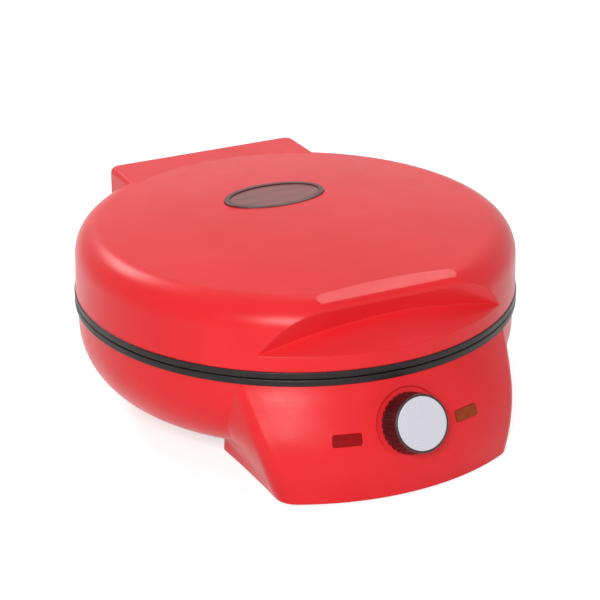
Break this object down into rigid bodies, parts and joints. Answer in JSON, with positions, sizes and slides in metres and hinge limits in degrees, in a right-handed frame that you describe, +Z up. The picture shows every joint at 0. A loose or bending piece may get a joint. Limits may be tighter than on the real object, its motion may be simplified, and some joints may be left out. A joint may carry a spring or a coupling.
{
  "type": "electric pizza maker",
  "caption": "Round clamshell countertop pizza cooker: hinged domed lid with a front finger recess, shallow coated pans, tilted control panel with a turning heat dial and lamp windows.",
  "frame": {"origin": "middle of the footprint's bounding box, on the table plane under the feet", "axes": "+Z up, -Y towards the user and the control panel, +Y towards the hinge, +X to the right as seen from the front"},
  "size_m": [0.3408, 0.3812, 0.1536],
  "materials": {
    "red_shell": "glossy cherry red moulded plastic",
    "black_cover": "fine grained black plastic",
    "pan_coating": "pressed aluminium with a black non-stick coating",
    "screw_steel": "zinc plated",
    "heater_sheath": "heat darkened steel tube",
    "reflector": "bright rolled sheet",
    "foot_rubber": "matt",
    "knob_grip": "dark brown-red moulded plastic",
    "knob_cap": "bright silver paint",
    "shaft_steel": "turned",
    "nut_brass": "plain",
    "thermostat_case": "cream thermoset",
    "power_lens": "dark red clear plastic",
    "ready_lens": "dark smoked clear plastic",
    "lamp_glass": "clear",
    "white_plastic": "white nylon",
    "fuse_metal": "plain",
    "lead_sleeve": "white glass fibre sleeve",
    "badge_frame": "dark glossy rim",
    "badge_plate": "satin, bare",
    "hinge_steel": "pressed and plated",
    "gland_black": "nylon"
  },
  "bodies": {
    "base": {"base_shell": "red_shell", "floor_cover": "black_cover", "control_bay_cover": "black_cover", "rear_bay_cover": "black_cover", "floor_cover_screws": "screw_steel", "bay_cover_screws": "screw_steel", "front_feet": "foot_rubber", "rear_feet": "foot_rubber", "lower_plate": "pan_coating", "lower_plate_screws": "screw_steel", "lower_heater": "heater_sheath", "lower_reflector": "reflector", "thermal_fuse": "fuse_metal", "thermostat_body": "thermostat_case", "thermostat_nut": "nut_brass", "power_light_lens": "power_lens", "ready_light_lens": "ready_lens", "indicator_lamps": "lamp_glass", "lamp_holders": "white_plastic", "terminal_block": "white_plastic", "cord_gland": "gland_black", "base_wiring": "lead_sleeve", "base_hinge_bracket": "hinge_steel", "base_bracket_screws": "screw_steel", "hinge_pins": "shaft_steel"},
    "lid": {"lid_shell": "red_shell", "badge_frame": "badge_frame", "badge_plate": "badge_plate", "upper_plate": "pan_coating", "upper_plate_screws": "screw_steel", "upper_heater": "heater_sheath", "upper_reflector": "reflector", "lid_wiring": "lead_sleeve", "lid_hinge_bracket": "hinge_steel", "lid_bracket_screws": "screw_steel"},
    "knob": {"control_knob": "knob_grip", "knob_cap": "knob_cap", "thermostat_shaft": "shaft_steel"}
  },
  "joints": [
    {"name": "lid_hinge", "type": "hinge", "parent": "base", "child": "lid", "pos_m": [0, 0.17759, 0.093], "axis": [-1, 0, 0], "range_deg": [0, 100]},
    {"name": "knob_turn", "type": "hinge", "parent": "base", "child": "knob", "pos_m": [0, -0.16437, 0.05136], "axis": [0, 0.9205, -0.3907], "range_deg": [0, 270]}
  ]
}
